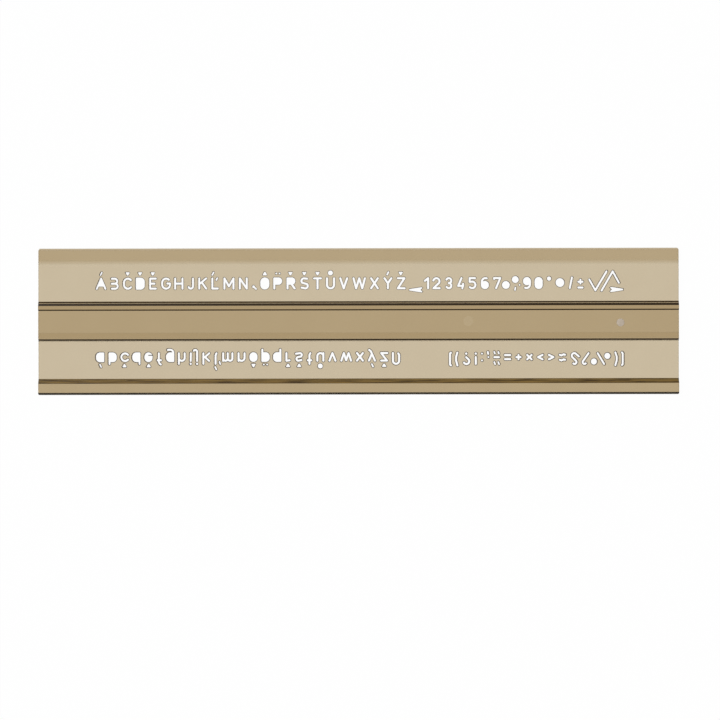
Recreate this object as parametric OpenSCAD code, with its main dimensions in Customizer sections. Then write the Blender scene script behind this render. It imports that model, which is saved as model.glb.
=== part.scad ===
/* [Plate] */
// Length of the stencil along the letter rows
plate_l = 160; // [152:1:240]
// Width of the thick spine along the middle
spine_w = 10; // [9:0.1:14]
// Width of each thin lettered web
web_w = 9.3; // [9:0.1:14]
// Width of the flat on each guide rail
rail_w = 2.8; // [2:0.05:6]
// Run of the slope that joins a rail to its web
slope_w = 1.2; // [0.4:0.1:2]
// Radius of the four corners, seen from above
corner_r = 0.4; // [0.1:0.1:2]

/* [Thickness] */
// Thickness of the lettered webs
web_t = 1; // [0.6:0.05:1.1]
// Gap that the feet keep between a web and the paper
web_lift = 0.5; // [0.4:0.05:0.7]
// Thickness of the spine
spine_t = 1.6; // [1.5:0.1:2.4]
// Height of each ridge above the spine
ridge_h = 0.2; // [0.15:0.05:0.4]

/* [Ridges and edges] */
// Width of the flat on top of a ridge
ridge_w = 1; // [0.6:0.1:1.6]
// Run of the sloping flank on a ridge's outer side
ridge_front_w = 0.48; // [0.2:0.02:0.8]
// Run of the sloping flank on a ridge's inner side
ridge_back_w = 0.28; // [0.1:0.02:0.6]
// Ledge between the spine's edge and a ridge
ledge_w = 0.16; // [0.1:0.02:0.6]
// Run of the sloping step from the spine down to a web
flank_w = 0.36; // [0.1:0.02:0.6]
// Distance that the step without a ridge stands back from the web's edge
low_inset = 0.24; // [0.1:0.02:0.8]
// Bevel along the outer edge of each rail, on the side away from its foot
edge_cut = 0.4; // [0.1:0.05:0.5]

/* [Lettering] */
// Height of a capital, between the middles of its strokes
letter_h = 2.5; // [1.8:0.05:2.6]
// Width of a letter slot
slot_w = 0.5; // [0.3:0.05:0.55]
// Width of the slots for accents and other small marks
mark_w = 0.4; // [0.25:0.05:0.5]
// Distance from the middle of the plate to each baseline
baseline_y = 8.1; // [7.8:0.1:8.6]
// Distance that both rows sit to the right of the middle
row_shift = 0.35; // [-4:0.05:4]
// Distance that both rows sit above their even places, seen as in use for the capitals
row_rise = 0.15; // [-0.3:0.05:0.3]

/* [Marks on the spine] */
// Diameter of the paint dot that shows the pen size
dot_d = 2; // [1:0.1:4]
// Depth of the paint dot
dot_t = 0.3; // [0.1:0.05:0.5]
// Gap round the paint dot
dot_clear = 0.02; // [0.01:0.01:0.1]
// Distance of the paint dot from the right end
dot_from_end = 14.6; // [4:0.1:30]
// Distance of the paint dot below the middle
dot_drop = 0.4; // [0:0.1:2]
// Diameter of the round witness mark
witness_d = 2.5; // [1:0.1:4]
// Depth of the round witness mark
witness_t = 0.1; // [0.05:0.05:0.3]
// Distance of the witness mark to the right of the middle
witness_x = 27.4; // [10:0.1:50]

/* [Hidden] */
$fn = 32;

// Heights from the middle plane of the plate. The section is the same upside down, so that the stencil
// can be turned over onto its other feet for the lower-case row.
spine_top = spine_t / 2;
foot = spine_top + ridge_h;
web_low = web_lift - foot;
web_top = web_low + web_t;

// Distances from the middle line of the plate
spine_edge = spine_w / 2;
web_edge = spine_edge + web_w;
rail_start = web_edge + slope_w;
plate_edge = rail_start + rail_w;
ridge_foot = spine_edge - flank_w - ledge_w;
ridge_front = ridge_foot - ridge_front_w;

dot_x = plate_l / 2 - dot_from_end;
over = 1;

// Glyph points are in tenths of the capital height: 0 is the baseline and 10 the top of a capital, both at
// the middle of the stroke. The pen runs round inside a slot, so counters that would fall out are cut away.
// The sides of a slot run a hair inside its round ends, so that they cross the rounds and don't only touch.
unit = letter_h / 10;
pen_r = slot_w / 2;
mark_r = mark_w / 2;
hair = 0.002;
x_height = 7.5;
capital_mark = 13.2;
small_mark = 10.6;

function line(points) = ["line", points, pen_r];
function mark(points) = ["line", points, mark_r];
function bow(centre, r, from, to) = ["bow", centre, r, from, to];
function patch(points) = ["patch", points];
function disc(centre, r) = ["disc", centre, r];
function slab(low, high, left_r, right_r) = ["slab", low, high, left_r, right_r];
function tongue(from, to) = ["tongue", from, to];

// Accents, each centred on x with its foot at y
function caron(x, y) = patch([
    [x - 0.6, y], [x + 0.6, y], [x + 2.1, y + 2.7], [x + 1.7, y + 3.2], [x - 1.7, y + 3.2], [x - 2.1, y + 2.7]
]);
function circumflex(x, y) = patch([
    [x - 1.7, y], [x + 1.7, y], [x + 2.1, y + 0.5], [x + 0.6, y + 3.3], [x - 0.6, y + 3.3], [x - 2.1, y + 0.5]
]);
function acute(x, y) = mark([[x - 0.6, y + 0.5], [x + 0.6, y + 2.9]]);
function ring(x, y) = disc([x, y + 2.2], 2.4);
function two_dots(x, y) = [disc([x - 1.65, y + 0.7], 0.85), disc([x + 1.65, y + 0.7], 0.85)];

GLYPHS = [
    ["A", [line([[0, 0], [4.3, 10], [8.6, 0]]), patch([[1.2, 2.2], [4.3, 10], [7.4, 2.2]])]],
    ["B", [
        line([[0, 10], [2.9, 10]]), bow([2.9, 7.5], 2.5, -90, 90),
        line([[0, 5], [3.4, 5]]), bow([3.4, 2.5], 2.5, -90, 90), line([[0, 0], [3.4, 0]])
    ]],
    ["C", [bow([3.9, 6.1], 3.9, 40, 180), line([[0, 6.1], [0, 3.9]]), bow([3.9, 3.9], 3.9, 180, 320)]],
    ["D", [slab([0, 0], [7, 10], 0, 3.2)]],
    ["E", [line([[5.6, 10], [0, 10], [0, 0], [5.6, 0]]), line([[0, 5], [4.3, 5]])]],
    ["G", [
        bow([3.9, 6.1], 3.9, 45, 180), line([[0, 6.1], [0, 3.9]]), bow([3.9, 3.9], 3.9, 180, 360),
        line([[7.8, 3.9], [7.8, 5.1], [5.2, 5.1]])
    ]],
    ["H", [line([[0, 10], [0, 0]]), line([[7.3, 10], [7.3, 0]]), line([[0, 5], [7.3, 5]])]],
    ["J", [line([[0, 10], [0, 2.2]]), bow([-2.2, 2.2], 2.2, 200, 360)]],
    ["K", [line([[0, 10], [0, 0]]), line([[6.8, 10], [0, 4.4]]), line([[2.4, 6.4], [6.9, 0]])]],
    ["L", [line([[0, 10], [0, 0], [5.4, 0]]), mark([[4, 8.6], [4.9, 10.4]])]],
    ["M", [line([[0, 0], [0, 10], [4.5, 2.2], [9, 10], [9, 0]])]],
    ["N", [line([[0, 0], [0, 10], [6.9, 0], [6.9, 10]])]],
    ["tail", [disc([0, 1.8], 1.3), mark([[0, 1.8], [2.5, -0.5]])]],
    ["O", [slab([0, 0], [7, 10], 3.5, 3.5)]],
    ["P", [slab([0, 4.7], [6.8, 10], 0, 2.6), line([[0, 10], [0, 0]])]],
    ["R", [slab([0, 4.7], [6.8, 10], 0, 2.6), line([[0, 10], [0, 0]]), line([[3.8, 4.7], [7.1, 0]])]],
    ["S", [
        line([[5.8, 9.7], [3.1, 10]]), bow([2.7, 7.5], 2.5, 80, 225), line([[0.9, 5.7], [5.77, 4.27]]),
        bow([4, 2.5], 2.5, -120, 45), line([[0.4, 0.8], [2.75, 0.34]])
    ]],
    ["T", [line([[0, 10], [6.8, 10]]), line([[3.4, 10], [3.4, 0]])]],
    ["U", [line([[0, 10], [0, 3.5]]), bow([3.5, 3.5], 3.5, 180, 360), line([[7, 3.5], [7, 10]])]],
    ["V", [line([[0, 10], [3.4, 0], [6.8, 10]])]],
    ["W", [line([[0, 10], [2.6, 0], [5.7, 10], [8.7, 0], [11.4, 10]])]],
    ["X", [line([[0, 10], [6.7, 0]]), line([[0, 0], [6.7, 10]])]],
    ["Y", [line([[0, 10], [3.4, 5], [6.8, 10]]), line([[3.4, 5], [3.4, 0]])]],
    ["Z", [line([[0, 10], [6.5, 10], [0, 0], [6.7, 0]])]],
    ["arrow_left", [patch([
        [0, -2.3], [0, -0.9], [12.2, 1], [13.2, 0.3], [11.2, -1.6], [13.2, -3.5], [12.2, -4.2]
    ])]],
    ["arrow_right", [patch([
        [0, -2.3], [0, -0.9], [-12.2, 1], [-13.2, 0.3], [-11.2, -1.6], [-13.2, -3.5], [-12.2, -4.2]
    ])]],
    ["0", [slab([0, 0], [6.2, 10], 3.1, 3.1)]],
    ["1", [line([[3.2, 0], [3.2, 10], [0, 7.4]]), patch([[3.2, 10], [0, 7.4], [3.2, 7.4]])]],
    ["2", [bow([3.1, 6.9], 3.1, -30, 165), line([[5.78, 5.35], [0.2, 0], [6.4, 0]])]],
    ["3", [
        bow([2.9, 7.5], 2.5, -90, 155), bow([2.9, 2.5], 2.5, -150, 90)
    ]],
    ["4", [line([[3.6, 10], [0.3, 2.3], [5.4, 2.3]]), line([[5.2, 4.3], [4.5, -0.1]])]],
    ["5", [line([[5.3, 10], [0, 10], [0, 6.3], [2.5, 6.5]]), bow([2.5, 3.25], 3.25, -135, 90)]],
    ["6", [slab([0, 0], [6, 6.2], 3, 3), line([[0, 3.1], [0, 6.4]]), bow([3.6, 6.4], 3.6, 70, 180)]],
    ["7", [line([[0, 9.2], [0, 10], [6.2, 10], [2, 0]])]],
    ["9", [slab([0, 3.8], [6, 10], 3, 3), line([[6, 6.9], [6, 3.6]]), bow([2.4, 3.6], 3.6, -110, 0)]],
    ["large_disc", [disc([0, 5.4], 4.35)]],
    ["low_disc", [disc([0, 3.1], 3.9)]],
    ["high_disc", [disc([0, 8.5], 3.4), mark([[0.1, 0.5], [-0.3, -1.8]]), disc([4.4, 3.1], 0.85)]],
    ["degree", [disc([0, 9.4], 2.1)]],
    ["slash", [line([[0, 0], [2.2, 10.4]])]],
    ["plus_minus", [
        line([[-2.1, 6.2], [2.1, 6.2]]), line([[0, 8.2], [0, 4.5]]), line([[-2.1, 0.4], [2.1, 0.4]])
    ]],
    ["surface_up", [line([[0, 8.3], [6, -2.3], [17.2, 16.5]])]],
    ["surface_down", [line([[0, -2.6], [11.2, 16.5], [17.4, 5.2]])]],
    ["a", [slab([0, 0], [6.4, 7.6], 3, 0)]],
    ["b", [slab([0, 0], [6.3, 7.6], 0, 3), line([[0, 0], [0, 10.4]])]],
    ["c", [bow([3.7, 3.75], 3.75, 40, 320)]],
    ["d", [slab([0, 0], [6.3, 7.6], 3, 0), line([[6.3, 0], [6.3, 10.4]])]],
    ["e", [slab([0, 0], [6.2, 7.6], 3.1, 3.1), tongue([3.4, 1.9], [8.4, 1.9])]],
    ["f", [line([[2.1, 0], [2, 8.4], [2.8, 10.2], [4, 11]]), line([[0.9, 6.8], [4.1, 6.8]])]],
    ["g", [
        slab([0, 0], [6.3, 7.6], 3, 0), line([[6.3, 0], [6.3, -0.6]]), bow([3.3, -0.6], 3, 270, 360),
        line([[3.3, -3.6], [0.9, -3.5]])
    ]],
    ["h", [line([[0, 0], [0, 10.4]]), bow([2.9, 4.5], 2.9, 0, 180), line([[5.8, 4.5], [5.8, 0]])]],
    ["i", [line([[0.2, 0], [0, x_height]]), disc([0, 10.5], 1.1)]],
    ["j", [line([[0, x_height], [0, -1.6]]), bow([-1.8, -1.6], 1.8, 215, 360), disc([0, 10.5], 1.1)]],
    ["k", [line([[0, 0], [0, 10.4]]), line([[5.7, x_height], [1.6, 3.7], [5.8, 0]]), line([[0, 3.7], [1.6, 3.7]])]],
    ["l", [line([[0.9, 0], [0, 2], [0, 10.4]]), mark([[3.9, 8.6], [4.7, 10.7]])]],
    ["m", [
        line([[0, 0], [0, x_height]]), bow([2.3, 5.1], 2.3, 0, 180), line([[4.6, 5.1], [4.6, 0]]),
        bow([6.9, 5.1], 2.3, 0, 180), line([[9.2, 5.1], [9.2, 0]])
    ]],
    ["n", [line([[0, 0], [0, x_height]]), bow([3, 4.5], 3, 0, 180), line([[6, 4.5], [6, 0]])]],
    ["o", [slab([0, 0], [6, 7.6], 3, 3)]],
    ["p", [slab([0, 0], [6.3, 7.6], 0, 3), line([[0, 0], [0, -3.5]])]],
    ["q", [slab([0, 0], [6.3, 7.6], 3, 0), line([[6.3, 0], [6.3, -3.5]])]],
    ["r", [line([[0, 0], [0, x_height], [3.1, 7.1]])]],
    ["s", [
        line([[4.9, 6.8], [2, 7.5]]), bow([1.9, 5.65], 1.85, 90, 255), line([[1.42, 3.86], [4.05, 3.44]]),
        bow([3.6, 1.75], 1.75, -100, 75), line([[3.3, 0], [-0.4, 0.5]])
    ]],
    ["t", [line([[1.9, 0], [1, 1.8], [1, 10.6]]), line([[-0.6, 7.1], [2.7, 7.1]])]],
    ["u", [line([[0, x_height], [0, 3]]), bow([3, 3], 3, 180, 360), line([[6, x_height], [6, 0]])]],
    ["v", [line([[0, x_height], [3, 0], [6, x_height]])]],
    ["w", [line([[0, x_height], [2.5, 0], [4.8, 7.1], [7.2, 0], [9.7, x_height]])]],
    ["x", [line([[0, x_height], [5.8, 0]]), line([[0, 0], [5.8, x_height]])]],
    ["y", [line([[0, x_height], [2.8, 1]]), line([[6, x_height], [1.9, -1.8], [0.3, -3.1]])]],
    ["z", [line([[0, x_height], [5.7, x_height], [0, 0], [6, 0]])]],
    ["sharp_s", [line([[0, 0], [0, 7.6]]), bow([3.1, 7.6], 3.1, 0, 180), line([[6.2, 7.6], [6.2, 1.8], [5.3, 0.4]])]],
    ["[", [line([[0.9, 12.4], [0, 11.6], [0, 0.6], [0.9, -0.2]])]],
    ["]", [line([[-0.8, 12.3], [0, 11.3], [0, 0.7], [-0.8, -0.2]])]],
    ["(", [line([[1.3, 12.4], [0, 7.8], [0, 4], [1.2, -0.2]])]],
    [")", [line([[0, 12.4], [1.4, 7.6], [1.4, 3.8], [0, -0.2]])]],
    ["?", [disc([2.8, 0.7], 1.1), line([[2.8, 4.3], [5.14, 6.5]]), bow([3, 8.3], 2.8, -40, 150)]],
    ["!", [disc([0, 0.7], 1.1), line([[0, 4.2], [0, 10.9]])]],
    [":", [disc([0, 0.7], 0.95), disc([0, 7.5], 0.95)]],
    [";", [line([[-0.3, -0.8], [0.1, 0.9]]), disc([0.3, 4.2], 0.95)]],
    ["quotes", [
        mark([[0.1, -1], [0.8, 0.7]]), mark([[4.1, -1], [4.8, 0.7]]), line([[0.3, 4.3], [4.8, 4.3]]),
        mark([[0.1, 9.2], [1, 11.3]]), mark([[4.1, 9.2], [5, 11.3]])
    ]],
    ["=", [line([[0, 2.2], [5.2, 2.2]]), line([[0, 6.3], [5.2, 6.3]])]],
    ["+", [line([[-2.1, 4.3], [2.1, 4.3]]), line([[0, 2.2], [0, 6.4]])]],
    ["x_sign", [line([[-2.2, 2.1], [2.2, 6.5]]), line([[-2.2, 6.5], [2.2, 2.1]])]],
    ["<", [line([[5, 2.1], [0.5, 4.3], [5, 6.5]])]],
    [">", [line([[0, 2.1], [4.5, 4.3], [0, 6.5]])]],
    ["about", [
        line([[0, 2], [1.6, 2.7], [3.8, 1.6], [5.3, 2]]), line([[0, 7], [1.6, 7.7], [3.8, 6.6], [5.3, 7]])
    ]],
    ["section_sign", [
        line([[7.1, 3.7], [3.75, 0.73]]), bow([2.5, 2.9], 2.5, 150, 300),
        line([[0.33, 4.15], [4.26, 8.08]]), bow([2.8, 9.3], 1.9, -40, 130)
    ]],
    ["hook", [line([[6, 0.5], [0.52, 8.24]]), bow([1.9, 9.4], 1.8, 45, 220)]],
    ["percent", [disc([0, 8.8], 3.05), line([[3.9, 0.6], [10.2, 11.2]]), disc([13.5, 3.2], 3.05)]]
];

// Each entry holds the place along the row, the glyph, and the accents above it
CAPITAL_ROW = [
    [0, "A", [acute(4.4, capital_mark)]],
    [15, "B", []],
    [27.2, "C", [caron(3.7, capital_mark)]],
    [40, "D", [caron(3.3, capital_mark)]],
    [53.4, "E", [caron(2.6, capital_mark)]],
    [65.4, "G", []],
    [78.4, "H", []],
    [96.2, "J", []],
    [102.5, "K", []],
    [115.6, "L", [acute(0.6, capital_mark)]],
    [127.7, "M", []],
    [143.1, "N", []],
    [156.8, "tail", []],
    [164.6, "O", [circumflex(3.5, capital_mark)]],
    [177.6, "P", two_dots(3.6, capital_mark + 1)],
    [190.8, "R", [caron(2.9, capital_mark)]],
    [204.5, "S", [caron(3.1, capital_mark)]],
    [217.4, "T", [caron(3.4, capital_mark)]],
    [230.3, "U", [ring(3.4, capital_mark)]],
    [243.6, "V", []],
    [256.8, "W", []],
    [274.4, "X", []],
    [287.8, "Y", [acute(3.3, capital_mark)]],
    [301.2, "Z", [caron(2.8, capital_mark)]],
    [312.6, "arrow_left", []],
    [328.2, "1", []],
    [336.6, "2", []],
    [349.2, "3", []],
    [361.2, "4", []],
    [373, "5", []],
    [385.2, "6", []],
    [397.4, "7", []],
    [409.2, "low_disc", []],
    [418.6, "high_disc", []],
    [427.3, "9", []],
    [438.9, "0", []],
    [452.4, "degree", []],
    [463.3, "large_disc", []],
    [473.1, "slash", []],
    [483.8, "plus_minus", []],
    [492.7, "surface_up", []],
    [504.9, "surface_down", []],
    [526.4, "arrow_right", []]
];
LOWERCASE_ROW = [
    [0, "a", [acute(3.6, small_mark)]],
    [12.6, "b", []],
    [24.5, "c", [caron(3.1, small_mark)]],
    [36.3, "d", []],
    [48.5, "e", [caron(3.3, small_mark)]],
    [59.9, "f", []],
    [70.1, "g", []],
    [82, "h", []],
    [93.8, "i", []],
    [100.2, "j", []],
    [106.5, "k", []],
    [118.7, "l", [acute(0.2, capital_mark)]],
    [126.3, "m", []],
    [141.7, "n", []],
    [153.6, "o", [circumflex(3, small_mark)]],
    [165.5, "p", two_dots(3.1, small_mark)],
    [177.2, "q", []],
    [189.6, "r", [caron(1.6, small_mark)]],
    [199.6, "s", [caron(2.7, small_mark)]],
    [211.6, "t", []],
    [220.5, "u", [ring(2.9, small_mark)]],
    [232.6, "v", []],
    [244.5, "w", []],
    [260.2, "x", []],
    [272.1, "y", [acute(3.5, small_mark)]],
    [284.4, "z", [caron(2.9, small_mark)]],
    [296.1, "sharp_s", []],
    [353.2, "[", []],
    [359.3, "(", []],
    [366.6, "?", []],
    [379, "!", []],
    [385.2, ":", []],
    [391.3, ";", []],
    [397.3, "quotes", []],
    [408.2, "=", []],
    [421.7, "+", []],
    [432.6, "x_sign", []],
    [440.8, "<", []],
    [452.1, ">", []],
    [463, "about", []],
    [475, "section_sign", []],
    [485.8, "hook", []],
    [497.1, "percent", []],
    [518.6, ")", []],
    [526, "]", []]
];
row_span = CAPITAL_ROW[len(CAPITAL_ROW) - 1][0];
row_start = row_shift - row_span * unit / 2;

function parts_of(name) = [for (glyph = GLYPHS) if (glyph[0] == name) each glyph[1]];

// Straight slots with round ends, from point to point
module stroke(points, r) {
    side = r - hair;
    for (i = [1 : len(points) - 1]) {
        run = (points[i] - points[i - 1]) * unit;
        translate(points[i - 1] * unit) rotate(atan2(run.y, run.x))
            translate([0, -side]) square([norm(run), 2 * side]);
    }
    for (point = points) translate(point * unit) circle(r = r);
}

// Curved slot with round ends, anticlockwise round its centre
module curve(centre, r, from, to) {
    side = pen_r - hair;
    steps = ceil((to - from) / 60);
    reach = 2 * (r * unit + pen_r);
    translate(centre * unit) {
        intersection() {
            difference() {
                circle(r = r * unit + side);
                circle(r = r * unit - side);
            }
            polygon([[0, 0], for (i = [0 : steps]) let (a = from + (to - from) * i / steps) reach * [cos(a), sin(a)]]);
        }
        for (a = [from, to]) translate(r * unit * [cos(a), sin(a)]) circle(r = pen_r);
    }
}

// Rectangle between two corners, left out where the rounds on its two sides meet
module block(low, high) {
    size = high - low;
    if (min(size) > pen_r / 10) translate(low) square(size);
}

// Filled aperture round the box from low to high, with one corner radius on each side
module filled_box(low, high, left_r, right_r) {
    a = low * unit - [pen_r, pen_r];
    b = high * unit + [pen_r, pen_r];
    left = left_r * unit + pen_r;
    right = right_r * unit + pen_r;
    block([a.x + left, a.y], [b.x - right, b.y]);
    block([a.x, a.y + left], [a.x + 2 * left, b.y - left]);
    block([b.x - 2 * right, a.y + right], [b.x, b.y - right]);
    for (y = [a.y + left, b.y - left]) translate([a.x + left, y]) circle(r = left);
    for (y = [a.y + right, b.y - right]) translate([b.x - right, y]) circle(r = right);
}

module aperture(part) {
    if (part[0] == "line") stroke(part[1], part[2]);
    if (part[0] == "bow") curve(part[1], part[2], part[3], part[4]);
    if (part[0] == "patch") polygon(part[1] * unit);
    if (part[0] == "disc") translate(part[1] * unit) circle(r = part[2] * unit);
    if (part[0] == "slab") filled_box(part[1], part[2], part[3], part[4]);
}

// One glyph: its apertures, less the tongues of plastic that reach into them
module glyph(name, accents) {
    parts = parts_of(name);
    difference() {
        for (part = parts) aperture(part);
        for (part = parts) if (part[0] == "tongue") stroke([part[1], part[2]], pen_r / 2);
    }
    for (part = accents) aperture(part);
}

module letter_row(row, baseline) {
    for (entry = row) translate([row_start + entry[0] * unit, baseline]) glyph(entry[1], entry[2]);
}

// The plate is drawn round its middle plane, and then stands on its feet
module stand() {
    translate([0, 0, foot]) children();
}

module turn_over() {
    rotate([180, 0, 0]) children();
}

// A straight bar along the plate, from its section in width and height
module bar(section) {
    translate([-plate_l / 2, 0, 0]) rotate([90, 0, 90]) linear_extrude(plate_l) polygon(section);
}

module plan_outline() {
    square([plate_l, 2 * (plate_edge - corner_r)], center = true);
    square([plate_l - 2 * corner_r, 2 * plate_edge], center = true);
    for (x = [-1, 1], y = [-1, 1])
        translate([x * (plate_l / 2 - corner_r), y * (plate_edge - corner_r)]) circle(r = corner_r);
}

// Guide rail: flush with the web above, and sloping down below to the foot that it stands on
module rail() {
    intersection() {
        bar([
            [web_edge, web_top], [web_edge, web_low], [rail_start, -foot], [plate_edge, -foot],
            [plate_edge, web_top - edge_cut], [plate_edge - edge_cut, web_top]
        ]);
        translate([0, 0, -foot - over]) linear_extrude(2 * (foot + over)) plan_outline();
    }
}

module web(row, baseline) {
    translate([0, 0, web_low]) linear_extrude(web_t) difference() {
        translate([-plate_l / 2, spine_edge]) square([plate_l, web_w]);
        letter_row(row, baseline);
    }
}

module ridge() {
    bar([
        [ridge_foot, spine_top], [ridge_front, foot], [ridge_front - ridge_w, foot],
        [ridge_front - ridge_w - ridge_back_w, spine_top]
    ]);
}

module upper_rail() {
    color("#b3a17d") stand() rail();
}

module capital_web() {
    color("#c8baa3") stand() web(CAPITAL_ROW, baseline_y + row_rise);
}

module spine() {
    half = [
        [spine_edge, web_top], [spine_edge - flank_w, spine_top],
        [low_inset + flank_w - spine_edge, spine_top], [low_inset - spine_edge, -web_low],
        [-spine_edge, -web_low]
    ];
    color("#b3a17d") stand() difference() {
        bar(concat(half, -half));
        translate([dot_x, -dot_drop, spine_top - dot_t]) cylinder(d = dot_d, h = dot_t + over);
        translate([witness_x, 0, spine_top - witness_t]) cylinder(d = witness_d, h = witness_t + over);
    }
}

module top_ridge() {
    color("#ac9a74") stand() ridge();
}

module under_ridge() {
    color("#aa976c") stand() turn_over() ridge();
}

module lowercase_web() {
    color("#c8baa3") stand() turn_over() web(LOWERCASE_ROW, baseline_y - row_rise);
}

module lower_rail() {
    color("#b3a17d") stand() turn_over() rail();
}

module size_dot() {
    color("#cdc5bb") stand() translate([dot_x, -dot_drop, spine_top - dot_t])
        cylinder(d = dot_d - 2 * dot_clear, h = dot_t);
}

upper_rail();
capital_web();
spine();
top_ridge();
under_ridge();
lowercase_web();
lower_rail();
size_dot();
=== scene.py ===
# %% [markdown]
# # A lettering stencil in tinted, transparent plastic
#
# A technical lettering stencil is one injection moulding. Two thin webs carry the letter slots. A thick
# spine with two ridges holds the webs apart, and two thick rails along the long edges run against a
# ruler. The plate is the same upside down, so it can be turned over for the lower-case row.
#
# The CAD frame gives the sizes. This script builds the visible skin round it, and the light to see it in.

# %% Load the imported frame
import math

import bmesh
import bpy
from mathutils import Matrix, Vector
from mathutils.bvhtree import BVHTree
from mathutils.geometry import delaunay_2d_cdt, intersect_line_line_2d


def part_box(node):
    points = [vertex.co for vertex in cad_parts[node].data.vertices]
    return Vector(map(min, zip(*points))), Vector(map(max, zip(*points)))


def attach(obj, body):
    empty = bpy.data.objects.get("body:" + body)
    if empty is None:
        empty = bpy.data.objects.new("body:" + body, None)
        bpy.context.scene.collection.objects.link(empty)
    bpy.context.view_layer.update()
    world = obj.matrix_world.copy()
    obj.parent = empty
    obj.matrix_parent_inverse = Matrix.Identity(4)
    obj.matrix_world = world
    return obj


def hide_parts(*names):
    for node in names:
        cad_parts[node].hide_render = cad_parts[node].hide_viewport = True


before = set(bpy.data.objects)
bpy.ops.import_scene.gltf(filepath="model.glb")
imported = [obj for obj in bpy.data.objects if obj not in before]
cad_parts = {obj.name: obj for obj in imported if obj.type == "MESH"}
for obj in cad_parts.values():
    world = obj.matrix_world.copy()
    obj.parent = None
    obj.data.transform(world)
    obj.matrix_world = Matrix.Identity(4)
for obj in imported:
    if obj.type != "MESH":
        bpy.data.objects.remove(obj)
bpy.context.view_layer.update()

print("CAD nodes:", ", ".join(sorted(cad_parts)))

# %% [markdown]
# ## Sizes
#
# Every feature of a stencil is a matter of millimetres, so the script thinks in them and turns them into
# metres at the last moment. The sizes could be typed again from a drawing, but two lists soon disagree.
# Most are read from the boxes of the CAD nodes instead. The few that a box can't tell, such as the run of
# a sloping flank, are named here.

# %% Read the sizes of the plate
MM = 0.001


def box_mm(node):
    low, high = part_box(node)
    return low / MM, high / MM


web_low_corner, web_high_corner = box_mm("capital_web")
ridge_low_corner, ridge_high_corner = box_mm("top_ridge")
plate_end = web_high_corner.x
plate_edge = box_mm("upper_rail")[1].y
web_edge = web_high_corner.y
spine_edge = web_low_corner.y
web_under = web_low_corner.z
web_top = web_high_corner.z
spine_top = box_mm("spine")[1].z
ridge_top = ridge_high_corner.z
ridge_inner = ridge_low_corner.y
ridge_outer = ridge_high_corner.y

FLANK = 0.36
RIDGE_FRONT = 0.56
RIDGE_BACK = 0.28
LOW_INSET = 0.24
SLOPE = 1.2
EDGE_CUT = 0.54
CORNER_R = 0.4
print(f"plate {2 * plate_end:.1f} x {2 * plate_edge:.1f} x {ridge_top:.1f} mm")

# %% [markdown]
# ## The section of the plate
#
# Cut across, the plate shows one outline from end to end, and the outline is the same upside down. It
# could be modelled as rails, webs and ridges pushed together, but one outline leaves no seams between
# them. So one half is written here and the other is that half turned over. Each point carries the name of
# the strip that starts there. Later the name decides how the strip is built, how it is finished and
# whether shade is painted into its colour.

# %% Write half of the section and turn it over


def turned_over(y, z):
    return -y, ridge_top - z


half_section = [
    (plate_edge, web_top - EDGE_CUT, "bevel"),
    (plate_edge - EDGE_CUT, web_top, "pen side"),
    (spine_edge, web_top, "step"),
    (spine_edge - FLANK, spine_top, "flat"),
    (ridge_outer, spine_top, "flank"),
    (ridge_outer - RIDGE_FRONT, ridge_top, "flat"),
    (ridge_inner + RIDGE_BACK, ridge_top, "back"),
    (ridge_inner, spine_top, "spine"),
    (LOW_INSET + FLANK - spine_edge, spine_top, "flank"),
    (LOW_INSET - spine_edge, ridge_top - web_under, "paper side"),
    (-web_edge, ridge_top - web_under, "slope"),
    (-web_edge - SLOPE, ridge_top, "flat"),
    (-plate_edge, ridge_top, "edge"),
]
section = half_section + [(*turned_over(y, z), strip) for y, z, strip in half_section]
print("section:", len(section), "corners")

# %% [markdown]
# ## Rounded edges
#
# The edges of a moulding are never quite sharp, and a small radius is what catches a line of light. The
# Bevel modifier could round the finished mesh, but it would reach for the edges of the slots too. Here
# each corner of the section is rounded with a short arc before the section is drawn out. Where a steep
# strip meets a level one, the arc is marked like the steep one, so it shares its gloss and its painted
# shade.

# %% Round every corner of the section
EDGE_R = 0.05
ARC_STEPS = 3
LEVEL_STRIPS = {"flat", "pen side", "paper side", "spine"}
PLANE_STRIPS = LEVEL_STRIPS | {"bevel", "back"}


def rounded(corners, radius):
    points = []
    for i, (y, z, strip) in enumerate(corners):
        here = Vector((y, z))
        before = (Vector(corners[i - 1][:2]) - here).normalized()
        after = (Vector(corners[(i + 1) % len(corners)][:2]) - here).normalized()
        half_turn = (math.pi - before.angle(after)) / 2
        reach = radius * math.tan(half_turn)
        centre = here + (before + after).normalized() * radius / math.cos(half_turn)
        start = here + before * reach - centre
        turn = start.angle_signed(here + after * reach - centre)
        last = corners[i - 1][2]
        for k in range(ARC_STEPS):
            spoke = start.copy()
            spoke.rotate(Matrix.Rotation(-turn * k / ARC_STEPS, 2))
            points.append((*(centre + spoke), strip if last in LEVEL_STRIPS else last))
        points.append((*(here + after * reach), strip))
    return points


outline = rounded(section, EDGE_R)
print("rounded section:", len(outline), "points")

# %% [markdown]
# ## The slots
#
# The letters are slots that a pen's sleeve runs in, cut right through the webs. They could be drawn again
# with curves, but the CAD webs have them already. Their outlines are the free edges of a web's flat top:
# every edge that only one triangle uses, joined end to end into loops. The longest loop is the web's own
# rim, and it is left out.

# %% Read the slot outlines from the CAD webs
KEY_SCALE = 1e4
TOP_TOLERANCE = 0.01


def key_of(point):
    return tuple(round(c * KEY_SCALE) for c in point)


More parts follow.
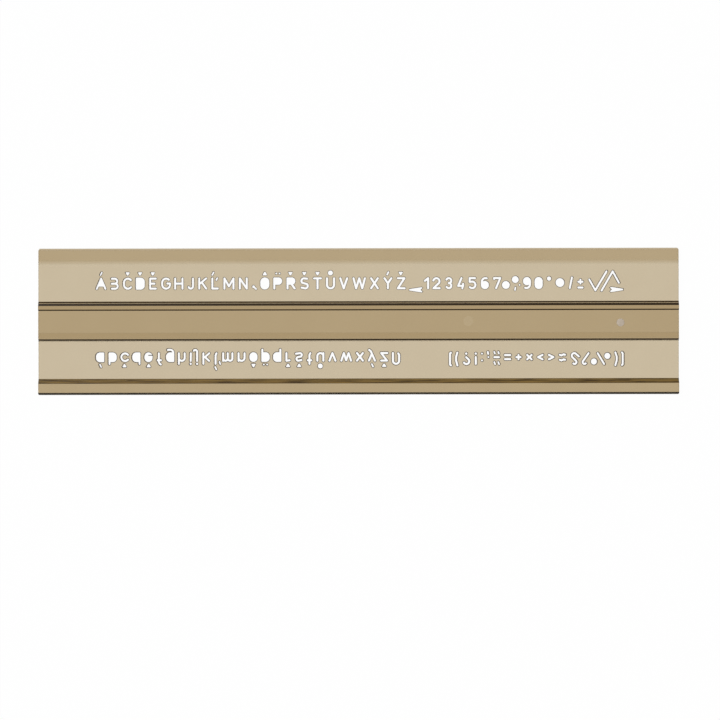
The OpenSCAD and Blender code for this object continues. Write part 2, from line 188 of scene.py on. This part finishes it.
def slot_outlines(node):
    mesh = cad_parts[node].data
    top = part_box(node)[1].z
    spots = {}
    uses = {}
    for triangle in mesh.polygons:
        corners = [mesh.vertices[v].co for v in triangle.vertices]
        if min(c.z for c in corners) < top - TOP_TOLERANCE * MM:
            continue
        keys = [key_of((c.x / MM, c.y / MM)) for c in corners]
        spots.update({k: Vector((c.x / MM, c.y / MM)) for k, c in zip(keys, corners)})
        for a, b in zip(keys, keys[1:] + keys[:1]):
            if a != b:
                uses.setdefault(frozenset((a, b)), []).append((a, b))
    onward = dict(pairs[0] for pairs in uses.values() if len(pairs) == 1)
    loops = []
    while onward:
        first, here = onward.popitem()
        loop = [spots[first]]
        while here != first:
            loop.append(spots[here])
            here = onward.pop(here)
        loops.append(loop)
    loops.sort(key=lambda loop: max(p.x for p in loop) - min(p.x for p in loop))
    return loops[:-1]


capital_slots = slot_outlines("capital_web")
lowercase_slots = slot_outlines("lowercase_web")
print("slots:", len(capital_slots), "for capitals,", len(lowercase_slots), "for lower case")

# %% [markdown]
# ## Walls of the slots
#
# A slot has an upright wall with a small flare at either face: on the pen side it leads the tip in, and
# on the paper side it keeps ink from creeping under the plate. Seen from above, the flares bend the light
# away and draw the dark outline of each letter, and the material adds painted shade there: a near-black
# colour on the flares. A Bevel modifier could cut them, but it fails where slots stand close together.
# Instead, a wall is a stack of rings, and each ring is the slot's outline grown by a little.

# %% Describe the wall and clean an outline
SHORTEST = 0.02
WEB_T = web_top - web_under
PEN_FLARE = 0.12
PAPER_FLARE = 0.17
FLARE_DEPTH = 0.16
WALL_EASE = 0.015
# The rings marked rim get painted shade in the material: a near-black colour for the dark outline of each
# letter.
WALL_PROFILE = [
    (0, PEN_FLARE, "rim"),
    (FLARE_DEPTH / 3, PEN_FLARE / 2, "rim"),
    (FLARE_DEPTH, WALL_EASE, "wall"),
    (WEB_T - FLARE_DEPTH, WALL_EASE, "rim"),
    (WEB_T - FLARE_DEPTH / 3, PAPER_FLARE / 2, "rim"),
    (WEB_T, PAPER_FLARE, None),
]


def area_of(loop):
    return sum(a.cross(b) for a, b in zip(loop, loop[1:] + loop[:1])) / 2


def tidy_loop(loop):
    kept = []
    for point in loop:
        if not kept or (point - kept[-1]).length > SHORTEST:
            kept.append(point)
    if (kept[0] - kept[-1]).length < SHORTEST:
        kept.pop()
    return kept if area_of(kept) > 0 else kept[::-1]


print("wall:", len(WALL_PROFILE), "rings over", round(WEB_T, 2), "mm")

# %% [markdown]
# ## Room for the flares
#
# Accents and dots stand so close to their letters that two flares could meet and leave no plastic between
# them. On the real mould the toolmaker gives each only what there is. Here every point of an outline
# measures its room: how near the next slot is, and how far off the wall straight ahead. One tree of
# upright panels, built from all the slots, answers both questions quickly.

# %% Measure the room round a slot
MITRE = 0.6
REACH = 4 * PAPER_FLARE


def outward(loop):
    ways = []
    for before, here, after in zip(loop[-1:] + loop[:-1], loop, loop[1:] + loop[:1]):
        run = (here - before).normalized()
        onward = (after - here).normalized()
        out = Vector((run.y + onward.y, -run.x - onward.x))
        ways.append(out.normalized() / max(out.length / 2, MITRE))
    return ways


def fence_of(loops):
    corners = []
    panels = []
    owners = []
    for number, loop in enumerate(loops):
        for a, b in zip(loop, loop[1:] + loop[:1]):
            first = len(corners)
            corners += [(a.x, a.y, -1), (b.x, b.y, -1), (b.x, b.y, 1), (a.x, a.y, 1)]
            panels.append(range(first, first + 4))
            owners.append(number)
    return BVHTree.FromPolygons(corners, panels), owners


def room_round(number, loop, fence, owners):
    rooms = []
    for here, way in zip(loop, outward(loop)):
        spot = here.to_3d()
        near = [hit[3] for hit in fence.find_nearest_range(spot, REACH) if owners[hit[2]] != number]
        onward = way.to_3d().normalized()
        ahead = fence.ray_cast(spot + onward * SHORTEST, onward, REACH)[3]
        rooms.append(min(near + [REACH if ahead is None else ahead + SHORTEST]))
    return rooms


print("a flare looks for room up to", round(REACH, 2), "mm away")

# %% [markdown]
# ## Growing an outline
#
# Each point moves outward by the same distance, but takes less than half of its room. In a tight inner
# corner the moved outline would cross itself. The points between a crossing's two ends are then put on
# the crossing itself, so the loop stays simple and keeps its number of points, and the rings of a wall
# can still be joined point by point.

# %% Grow an outline without crossings
ROOM_SHARE = 0.42
LOOK_AHEAD = 22


def grown(loop, distance, rooms):
    ways = outward(loop)
    points = [here + way * min(distance, ROOM_SHARE * room) for here, way, room in zip(loop, ways, rooms)]
    count = len(points)
    for i in range(count if distance else 0):
        for reach in range(2, min(LOOK_AHEAD, count // 2)):
            a, b, c, d = [points[(i + k) % count] for k in (0, 1, reach, reach + 1)]
            knot = intersect_line_line_2d(a, b, c, d) if a != b and c != d else None
            for k in range(1, reach + 1 if knot else 0):
                points[(i + k) % count] = knot
    return points


print("each flare takes at most", ROOM_SHARE, "of its room")

# %% [markdown]
# ## One closed skin
#
# The solids of the CAD could be shown as they are, but where two of them meet, light would cross two
# faces that the real moulding doesn't have. So the moulding is one closed mesh with no wall inside it:
# light enters the plastic through one face and leaves through another. Strips run from end to end, and
# the level strips that carry slots are cut up round them. A layer of numbers on the faces marks each
# strip for the material: its gloss, and whether shade is painted into its colour.

# %% Tools that put faces into the skin
FINISH_AND_SHADE_MARKS = ("step", "flank", "back", "bevel", "slope", "wall", "rim", "frost")
CUT_TOLERANCE = 1e-5
skin = bmesh.new()
layers = {name: skin.faces.layers.float.new(name) for name in FINISH_AND_SHADE_MARKS}


def ring(points):
    return [skin.verts.new(Vector(p) * MM) for p in points]


def level_ring(loop, z):
    return ring([(p.x, p.y, z) for p in loop])


def skin_face(verts, finish_or_shade=None, smooth=True):
    made = skin.faces.new(verts)
    made.smooth = smooth
    if finish_or_shade in layers:
        made[layers[finish_or_shade]] = 1


def bridge(one, other, finish_or_shade):
    for i in range(len(one)):
        j = (i + 1) % len(one)
        skin_face((one[i], one[j], other[j], other[i]), finish_or_shade)


def pierced_sheet(rim, holes):
    loops = [rim] + holes
    verts = [v for loop in loops for v in loop]
    runs = []
    for loop in loops:
        first = sum(map(len, runs))
        runs.append(list(range(first, first + len(loop))))
    level = [Vector((v.co.x, v.co.y)) / MM for v in verts]
    if area_of([level[i] for i in runs[0]]) < 0:
        runs[0].reverse()
    _, _, triangles, origins, _, inside = delaunay_2d_cdt(level, [], runs, 1, CUT_TOLERANCE)
    for corners, owners in zip(triangles, inside):
        if owners == [0]:
            skin_face([verts[origins[c][0]] for c in corners], smooth=False)


def slot_walls(outlines, pen_z, paper_z):
    pen_rims = []
    paper_rims = []
    loops = [tidy_loop(slot) for slot in outlines]
    fence, owners = fence_of(loops)
    for number, loop in enumerate(loops):
        rooms = room_round(number, loop, fence, owners)
        rings = []
        for depth, growth, _ in WALL_PROFILE:
            z = pen_z + (paper_z - pen_z) * depth / WEB_T
            rings.append(level_ring(grown(loop, growth, rooms), z))
        for one, other, (_, _, finish_or_shade) in zip(rings, rings[1:], WALL_PROFILE):
            bridge(one, other, finish_or_shade)
        pen_rims.append(rings[0])
        paper_rims.append(rings[-1])
    return pen_rims, paper_rims


print("finishes:", ", ".join(FINISH_AND_SHADE_MARKS))

# %% [markdown]
# ## Recesses in the spine
#
# A round pocket takes a dot of paint. Beside the middle sits the round witness mark of an ejector pin,
# dull and hardly deeper than a hair. A Boolean could sink them, but it can leave tiny gaps, and this skin
# has to stay closed. Rings joined from rim to floor leave none, and the top is then cut up round their
# rims, as round the slots.

# %% Sink the recesses and raise the slot walls
ROUND_STEPS = 48
POCKET_R = 1.0
POCKET_DEPTH = 0.3
WITNESS_X = 27.4
WITNESS_R = 1.25
WITNESS_DEPTH = 0.1
RIM_R = 0.03
dot_low, dot_high = box_mm("size_dot")
dot_spot = (dot_low + dot_high) / 2


def circle(x, y, r):
    turns = [2 * math.pi * k / ROUND_STEPS for k in range(ROUND_STEPS)]
    return [Vector((x + r * math.cos(a), y + r * math.sin(a))) for a in turns]


def recess(x, y, r, depth, finish_or_shade):
    rings = [
        level_ring(circle(x, y, r + RIM_R), spine_top),
        level_ring(circle(x, y, r), spine_top - RIM_R),
        level_ring(circle(x, y, r), spine_top - depth),
    ]
    for one, other in zip(rings, rings[1:]):
        bridge(one, other, None)
    skin_face(rings[-1], finish_or_shade, smooth=False)
    return rings[0]


recess_rims = [
    recess(dot_spot.x, dot_spot.y, POCKET_R, POCKET_DEPTH, None),
    recess(WITNESS_X, 0, WITNESS_R, WITNESS_DEPTH, "frost"),
]
capital_pen, capital_paper = slot_walls(capital_slots, web_top, web_under)
lowercase_pen, lowercase_paper = slot_walls(lowercase_slots, ridge_top - web_top, ridge_top - web_under)
print("walls of slots and recesses:", len(skin.faces), "faces")

# %% [markdown]
# ## From end to end
#
# The long strips could come from a curve with the section as its bevel object, but then its faces
# couldn't be told apart by name. Here the section is drawn at a row of stations and joined strip by
# strip. The last few stations draw in towards the end, which rounds the corners of the plate as seen from
# above and breaks the sharp edge of the end face.

# %% Sweep the section and close the ends
END_R = 0.04
END_EASE = 0.3
CORNER_STEPS = 4
end_stations = [(plate_end - CORNER_R * (1 - k / CORNER_STEPS), 0) for k in range(CORNER_STEPS)]
end_stations += [
    (plate_end - END_R, 0),
    (plate_end - END_EASE * END_R, END_EASE * END_R),
    (plate_end, END_R),
]
stations = [(-x, inset) for x, inset in end_stations[::-1]] + end_stations
windows = {
    ("pen side", True): capital_pen,
    ("paper side", False): capital_paper,
    ("paper side", True): lowercase_paper,
    ("pen side", False): lowercase_pen,
    ("spine", True): recess_rims,
}


def section_at(x, inset):
    past = max(abs(x) - (plate_end - CORNER_R), 0)
    limit = plate_edge - CORNER_R + math.sqrt(max(CORNER_R**2 - past**2, 0)) - inset
    points = []
    for i, (y, z, _) in enumerate(outline):
        before = outline[i - 1]
        after = outline[(i + 1) % len(outline)]
        out = Vector((after[1] - before[1], before[0] - after[0])).normalized()
        inner_y = y - out.x * inset
        points.append((x, max(-limit, min(limit, inner_y)), z - out.y * inset))
    return points


rings = [ring(section_at(x, inset)) for x, inset in stations]
middle = len(end_stations) - 1
for i, (_, z, strip) in enumerate(outline):
    j = (i + 1) % len(outline)
    for k, (left, right) in enumerate(zip(rings, rings[1:])):
        holes = windows.get((strip, z > ridge_top / 2)) if k == middle else None
        if holes:
            pierced_sheet([left[i], left[j], right[j], right[i]], holes)
        else:
            skin_face((left[i], left[j], right[j], right[i]), strip, strip not in PLANE_STRIPS)
skin_face(rings[0], smooth=False)
skin_face(rings[-1], smooth=False)
print("stations:", len(stations), "with the slots between the middle two")

# %% [markdown]
# ## Check the skin
#
# Clear plastic shows every mistake in its mesh. In a closed skin each edge lies between exactly two
# faces, and the volume is that of the CAD solids, less what rounded edges and flares take away. Auto
# smooth would also soften the big flat faces near their rims and bend the light there. So the faces that
# were made flat are set flat again after the sharp edges are marked.

# %% Close the skin and turn it into an object
SHARP_ANGLE = math.radians(40)
WELD = 1e-7
bmesh.ops.remove_doubles(skin, verts=skin.verts, dist=WELD)
bmesh.ops.recalc_face_normals(skin, faces=skin.faces)
open_edges = sum(not e.is_manifold for e in skin.edges)
skin_volume = skin.calc_volume() / MM**3
moulding_mesh = bpy.data.meshes.new("moulding")
skin.to_mesh(moulding_mesh)
soft_faces = [f.smooth for f in skin.faces]
skin.free()
moulding_mesh.set_sharp_from_angle(angle=SHARP_ANGLE)
moulding_mesh.polygons.foreach_set("use_smooth", soft_faces)
moulding = bpy.data.objects.new("moulding", moulding_mesh)
bpy.context.scene.collection.objects.link(moulding)
plastic_nodes = [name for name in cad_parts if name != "size_dot"]
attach(moulding, "root")
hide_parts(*plastic_nodes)
print(f"skin: {len(moulding_mesh.polygons)} faces, {open_edges} open edges, {skin_volume:.1f} mm3")

# %% [markdown]
# ## The paint dot
#
# The dot is a drop of thick paint that has dried in its pocket, and its edge has drawn down a little. A
# plain cylinder would look like a pill, and a sphere squashed flat has no edge. Rings that sink towards
# the rim with the square of their radius give the low dome of a dried drop.

# %% Model the paint dot
DOT_R = (dot_high.x - dot_low.x) / 2
DOT_RINGS = 10
DOT_SINK = 0.05
dot_mesh = bpy.data.meshes.new("paint_dot")
paint = bmesh.new()
paint_rings = [[Vector((p.x, p.y, dot_low.z)) for p in circle(dot_spot.x, dot_spot.y, DOT_R)]]
for k in range(DOT_RINGS):
    share = 1 - k / DOT_RINGS
    z = dot_high.z - DOT_SINK * share**2
    paint_rings.append([Vector((p.x, p.y, z)) for p in circle(dot_spot.x, dot_spot.y, DOT_R * share)])
paint_rings = [[paint.verts.new(p * MM) for p in loop] for loop in paint_rings]
paint.faces.new(paint_rings[0][::-1])
for one, other in zip(paint_rings, paint_rings[1:]):
    for i in range(ROUND_STEPS):
        j = (i + 1) % ROUND_STEPS
        paint.faces.new((one[i], one[j], other[j], other[i])).smooth = True
paint.faces.new(paint_rings[-1])
paint.to_mesh(dot_mesh)
paint.free()
dot_mesh.set_sharp_from_angle(angle=SHARP_ANGLE)
paint_dot = bpy.data.objects.new("paint_dot", dot_mesh)
bpy.context.scene.collection.objects.link(paint_dot)
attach(paint_dot, "root")
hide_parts("size_dot")
print("paint dot:", len(dot_mesh.polygons), "faces")

# %% [markdown]
# ## Tools for the materials
#
# A material is a small net of nodes. Writing out each node and link would bury what it says, so a few
# helpers make the nodes that come back again and again: noise, a change of range, a sum and a blend of
# two colours.

# %% Helpers for node trees


def add(tree, kind, **values):
    node = tree.nodes.new(kind)
    for key, value in values.items():
        setattr(node, key, value)
    return node


def noise(tree, coordinates, stretch, detail):
    mapping = add(tree, "ShaderNodeMapping")
    mapping.inputs["Scale"].default_value = stretch
    texture = add(tree, "ShaderNodeTexNoise")
    texture.inputs["Scale"].default_value = 1
    texture.inputs["Detail"].default_value = detail
    tree.links.new(coordinates, mapping.inputs["Vector"])
    tree.links.new(mapping.outputs["Vector"], texture.inputs["Vector"])
    return texture.outputs["Fac"]


def spread(tree, value, low, high, to_low, to_high):
    node = add(tree, "ShaderNodeMapRange")
    node.inputs["From Min"].default_value = low
    node.inputs["From Max"].default_value = high
    node.inputs["To Min"].default_value = to_low
    node.inputs["To Max"].default_value = to_high
    tree.links.new(value, node.inputs["Value"])
    return node.outputs["Result"]


def worked_out(tree, operation, *values):
    node = add(tree, "ShaderNodeMath", operation=operation)
    for socket, value in zip(node.inputs, values):
        if isinstance(value, (int, float)):
            socket.default_value = value
        else:
            tree.links.new(value, socket)
    return node.outputs[0]


def blend_colours(tree, share, one, other):
    node = add(tree, "ShaderNodeMix", data_type="RGBA")
    sockets = [s for s in node.inputs if s.type == "RGBA"]
    for socket, value in zip(sockets, (one, other)):
        if isinstance(value, tuple):
            socket.default_value = (*value, 1)
        else:
            tree.links.new(value, socket)
    tree.links.new(share, node.inputs[0])
    return [s for s in node.outputs if s.type == "RGBA"][0]


# %% [markdown]
# ## The shared mottle
#
# Neither a moulded nor a painted surface is quite even: slow, soft blotches run through both. Each
# material could have a noise of its own, but one node group with a scale as its input keeps the two
# alike, and a change to it reaches both.

# %% Make the mottle
MOTTLE_DETAIL = 3
MOTTLE_RANGE = (0.3, 0.7)
mottle = bpy.data.node_groups.new("mottle", "ShaderNodeTree")
mottle.interface.new_socket("Vector", in_out="INPUT", socket_type="NodeSocketVector")
mottle.interface.new_socket("Scale", in_out="INPUT", socket_type="NodeSocketFloat")
mottle.interface.new_socket("Mask", in_out="OUTPUT", socket_type="NodeSocketFloat")
group_in = add(mottle, "NodeGroupInput")
group_out = add(mottle, "NodeGroupOutput")
cloud = add(mottle, "ShaderNodeTexNoise")
cloud.inputs["Detail"].default_value = MOTTLE_DETAIL
mottle.links.new(group_in.outputs["Vector"], cloud.inputs["Vector"])
mottle.links.new(group_in.outputs["Scale"], cloud.inputs["Scale"])
mottle.links.new(spread(mottle, cloud.outputs["Fac"], *MOTTLE_RANGE, 0, 1), group_out.inputs["Mask"])


def mottle_in(tree, coordinates, scale):
    node = add(tree, "ShaderNodeGroup", node_tree=mottle)
    node.inputs["Scale"].default_value = scale
    tree.links.new(coordinates, node.inputs["Vector"])
    return node.outputs["Mask"]


print("mottle:", len(mottle.nodes), "nodes")

# %% [markdown]
# ## Tinted plastic: the surface
#
# The mould is polished where the plate is level and left duller on its flanks. The colour of the surface
# could carry the whole tint, but then a thick rail would look no deeper than a thin web. So the polished
# faces are nearly clear glass. The strips that bend the light away, the steps, flanks, ridge backs and
# slot rims, get painted shade: their colour is near black, for the dark lines they draw, and the layers
# of the skin tell them apart. The painted shade shows only from outside: faces seen from inside the
# plastic stay white, so that no tint is taken twice.

# %% Start the material and mark the strips
PLASTIC_IOR = 1.5
MOTTLE_SCALE = 160
MOTTLE_TINT = ((1, 1, 1), (0.97, 0.96, 0.95))
# Colours of the marked strips. Step, flank, back and rim are painted shade: near black, for the dark lines
# that these strips draw by bending the light away. Bevel and wall are a little darker, and frost stays
# clear.
FINISH_AND_PAINTED_SHADE_TINT = {
    "step": (0.026, 0.0095, 0.0),
    "flank": (0.003, 0.0012, 0.0),
    "back": (0.004, 0.0016, 0.0),
    "bevel": (0.8, 0.78, 0.75),
    "wall": (0.8, 0.76, 0.7),
    "rim": (0.004, 0.002, 0.0005),
    "frost": (1.0, 1.0, 1.0),
}
plastic = bpy.data.materials.new("tinted_plastic")
plastic.use_nodes = True
plastic_tree = plastic.node_tree
plastic_tree.nodes.clear()
plastic_out = add(plastic_tree, "ShaderNodeOutputMaterial")
shader = add(plastic_tree, "ShaderNodeBsdfPrincipled")
shader.inputs["Transmission Weight"].default_value = 1
shader.inputs["IOR"].default_value = PLASTIC_IOR
place = add(plastic_tree, "ShaderNodeTexCoord").outputs["Object"]
masks = {}
for name in FINISH_AND_SHADE_MARKS:
    masks[name] = add(plastic_tree, "ShaderNodeAttribute", attribute_name=name).outputs["Fac"]
blotches = mottle_in(plastic_tree, place, MOTTLE_SCALE)
colour = blend_colours(plastic_tree, blotches, *MOTTLE_TINT)
for name, tint in FINISH_AND_PAINTED_SHADE_TINT.items():
    colour = blend_colours(plastic_tree, masks[name], colour, tint)
print("marked strips:", len(masks))

# %% [markdown]
# ## Tinted plastic: the slopes
#
# A slope leads from each rail down to its web. Light runs along inside it and comes out in thin bright
# streaks between two dark edges. The paths of that light could be left to the renderer, but they would
# need far more samples than this picture has. So both are painted into the slope's colour: a stretched
# noise draws the streaks as painted light, and the distance from the middle of the plate darkens both
# edges with painted shade.

# %% Colour the slopes and finish the colour
STREAK_STRETCH = (110, 2600, 1)
STREAK_DETAIL = 4
STREAK_RANGE = (0.38, 0.66)
# Painted shade and painted light of the slopes: from the dark edges to the bright streaks.
SLOPE_PAINTED_LIGHT_AND_SHADE = ((0.01, 0.004, 0.0003), (0.15, 0.085, 0.012))
SLOPE_EDGE_SHARE = 0.25
across = add(plastic_tree, "ShaderNodeSeparateXYZ")
plastic_tree.links.new(place, across.inputs[0])
from_middle = worked_out(plastic_tree, "ABSOLUTE", across.outputs["Y"])
down_slope = spread(plastic_tree, from_middle, web_edge * MM, (web_edge + SLOPE) * MM, -1, 1)
to_edge = worked_out(plastic_tree, "ABSOLUTE", down_slope)
edge_dark = spread(plastic_tree, to_edge, 1 - SLOPE_EDGE_SHARE, 1, 1, 0)
grain = noise(plastic_tree, place, STREAK_STRETCH, STREAK_DETAIL)
streaks = spread(plastic_tree, grain, *STREAK_RANGE, 0, 1)
lightness = worked_out(plastic_tree, "MULTIPLY", streaks, edge_dark)
slope_painted_colour = blend_colours(plastic_tree, lightness, *SLOPE_PAINTED_LIGHT_AND_SHADE)
colour = blend_colours(plastic_tree, masks["slope"], colour, slope_painted_colour)
# The painted shade shows only from outside: from inside the plastic the colour is white.
inside = add(plastic_tree, "ShaderNodeNewGeometry").outputs["Backfacing"]
colour = blend_colours(plastic_tree, inside, colour, (1.0, 1.0, 1.0))
plastic_tree.links.new(colour, shader.inputs["Base Color"])
print("slope:", SLOPE, "mm wide, streaks every", round(1 / (STREAK_STRETCH[1] * MM), 2), "mm or so")

# %% [markdown]
# ## Tinted plastic: gloss and depth
#
# Two things are left. The gloss differs from strip to strip, as the mould's polish does, with the mottle
# in it. The tint sits in the depth of the plastic and takes blue away first, so a volume inside the skin
# absorbs light over its way through. The three numbers tell how fast red, green and blue fade, per metre.

# %% Set the gloss and fill the skin with tint
GLOSS = 0.03
MOTTLE_DULL = 0.03
FINISH_DULL = {
    "step": 0.3,
    "flank": 0.3,
    "bevel": 0.14,
    "slope": 0.3,
    "wall": 0.05,
    "rim": 0.2,
    "frost": 0.22,
}
ABSORB = (464, 630, 976)
DENSITY = 1100
dull = spread(plastic_tree, blotches, 0, 1, GLOSS, GLOSS + MOTTLE_DULL)
for name, amount in FINISH_DULL.items():
    dull = worked_out(plastic_tree, "ADD", dull, worked_out(plastic_tree, "MULTIPLY", masks[name], amount))
plastic_tree.links.new(dull, shader.inputs["Roughness"])
depth = add(plastic_tree, "ShaderNodeVolumeAbsorption")
depth.inputs["Density"].default_value = DENSITY
depth.inputs["Color"].default_value = (*[1 - a / DENSITY for a in ABSORB], 1)
plastic_tree.links.new(shader.outputs["BSDF"], plastic_out.inputs["Surface"])
plastic_tree.links.new(depth.outputs["Volume"], plastic_out.inputs["Volume"])
moulding_mesh.materials.append(plastic)
print("plastic:", len(plastic_tree.nodes), "nodes")

# %% [markdown]
# ## The paint
#
# Enamel paint from a dropper covers well and dries with a dull sheen. It could be one plain colour, but a
# dried drop is a little uneven, so the mottle blends two warm off-whites, at a scale that suits a dot of
# two millimetres.

# %% Make the material of the paint dot
DOT_COLOURS = ((0.64, 0.54, 0.43), (0.58, 0.49, 0.39))
PAINT_MOTTLE_SCALE = 1500
DOT_DULL = 0.55
dot_paint = bpy.data.materials.new("dot_paint")
dot_paint.use_nodes = True
paint_tree = dot_paint.node_tree
paint_shader = paint_tree.nodes["Principled BSDF"]
paint_place = add(paint_tree, "ShaderNodeTexCoord").outputs["Object"]
paint_blotches = mottle_in(paint_tree, paint_place, PAINT_MOTTLE_SCALE)
paint_colour = blend_colours(paint_tree, paint_blotches, *DOT_COLOURS)
paint_tree.links.new(paint_colour, paint_shader.inputs["Base Color"])
paint_shader.inputs["Roughness"].default_value = DOT_DULL
dot_mesh.materials.append(dot_paint)
print("paint:", len(paint_tree.nodes), "nodes")

# %% [markdown]
# ## The table
#
# The plate lies on a white table. A table lit to pure white would need so much light that the plate would
# wash out. Instead, the camera sees nearly all of the table as plain white, also through and in the clear
# plastic. The small rest comes from the lamp and the sky, and keeps a faint shadow. A low white wall
# stands far off round the table, so that a view from the side ends in white as well.

# %% Lay the table
TABLE_SIZE = 12.0
TABLE_GAP = 0.00002
COVE_HEIGHT = 0.9
table_mesh = bpy.data.meshes.new("table")
table_corners = [(-1, -1), (1, -1), (1, 1), (-1, 1)]
half_table = TABLE_SIZE / 2
spots = [(x * half_table, y * half_table, z) for z in (-TABLE_GAP, COVE_HEIGHT) for x, y in table_corners]
walls = [(k, (k + 1) % 4, (k + 1) % 4 + 4, k + 4) for k in range(4)]
table_mesh.from_pydata(spots, [], [(0, 1, 2, 3)] + walls)
table = bpy.data.objects.new("table", table_mesh)
bpy.context.scene.collection.objects.link(table)
print("table:", TABLE_SIZE, "m wide, with a wall of", COVE_HEIGHT, "m")

# %% Make the table white for the camera
TABLE_WHITE = 0.95
TABLE_GLOW = 0.98
table_material = bpy.data.materials.new("table")
table_material.use_nodes = True
table_tree = table_material.node_tree
table_tree.nodes.clear()
table_out = add(table_tree, "ShaderNodeOutputMaterial")
white = add(table_tree, "ShaderNodeBsdfDiffuse")
white.inputs["Color"].default_value = (TABLE_WHITE, TABLE_WHITE, TABLE_WHITE, 1)
glow = add(table_tree, "ShaderNodeEmission")
ray = add(table_tree, "ShaderNodeLightPath")
seen = worked_out(table_tree, "MAXIMUM", ray.outputs["Is Camera Ray"], ray.outputs["Is Glossy Ray"])
seen = worked_out(table_tree, "MAXIMUM", seen, ray.outputs["Is Transmission Ray"])
glow_share = worked_out(table_tree, "MULTIPLY", seen, TABLE_GLOW)
blend = add(table_tree, "ShaderNodeMixShader")
table_tree.links.new(glow_share, blend.inputs["Fac"])
table_tree.links.new(white.outputs["BSDF"], blend.inputs[1])
table_tree.links.new(glow.outputs["Emission"], blend.inputs[2])
table_tree.links.new(blend.outputs["Shader"], table_out.inputs["Surface"])
table_mesh.materials.append(table_material)
print("table:", len(table_tree.nodes), "nodes")

# %% [markdown]
# ## The light
#
# Product pictures are lit by a large soft lamp in a pale room. A small lamp would draw hard glints along
# every edge of clear plastic. Here a wide square lamp hangs to the left, out of the camera's mirror
# direction, and an even, dim sky fills the rest, so that the dark lines of the plate keep their brown.

# %% Hang the lamp and set the sky
SKY = 0.3
LAMP_POWER = 125
LAMP_SIZE = 4.0
LAMP_PLACE = (-2.5, 0.5, 1.9)
world = bpy.data.worlds.new("sky")
bpy.context.scene.world = world
world.use_nodes = True
world.node_tree.nodes["Background"].inputs["Color"].default_value = (1, 1, 1, 1)
world.node_tree.nodes["Background"].inputs["Strength"].default_value = SKY
lamp_data = bpy.data.lights.new("softbox", "AREA")
lamp_data.shape = "SQUARE"
lamp_data.size = LAMP_SIZE
lamp_data.energy = LAMP_POWER
lamp = bpy.data.objects.new("softbox", lamp_data)
lamp.location = LAMP_PLACE
lamp.rotation_euler = (-Vector(LAMP_PLACE)).to_track_quat("-Z", "Y").to_euler()
bpy.context.scene.collection.objects.link(lamp)
print("lamp:", LAMP_SIZE, "m wide, at", round(Vector(LAMP_PLACE).length, 1), "m")

# %% [markdown]
# ## The camera
#
# The photograph looks straight down from a forearm's length, and the plate lies a hair askew in it. The
# width of the picture at the height of the webs is measured on the plate, so the lens follows from it and
# from the camera's height. The camera could be turned with a constraint towards the plate, but a plain
# place and a small roll say the same in numbers that can be read.

# %% Place the camera
PICTURE_WIDTH = 0.1799
CAMERA_HEIGHT = 0.4
SENSOR = 36
CAMERA_X = 0.00034
CAMERA_Y = -0.00968
CAMERA_ROLL = math.radians(-0.095)
camera_data = bpy.data.cameras.new("camera")
camera_data.sensor_width = SENSOR
camera_data.lens = SENSOR * CAMERA_HEIGHT / PICTURE_WIDTH
camera = bpy.data.objects.new("camera", camera_data)
camera.location = (CAMERA_X, CAMERA_Y, CAMERA_HEIGHT + web_top * MM)
camera.rotation_euler = (0, 0, CAMERA_ROLL)
bpy.context.scene.collection.objects.link(camera)
bpy.context.scene.camera = camera
bpy.context.scene.view_settings.view_transform = "Standard"
print("lens:", round(camera_data.lens, 1), "mm")
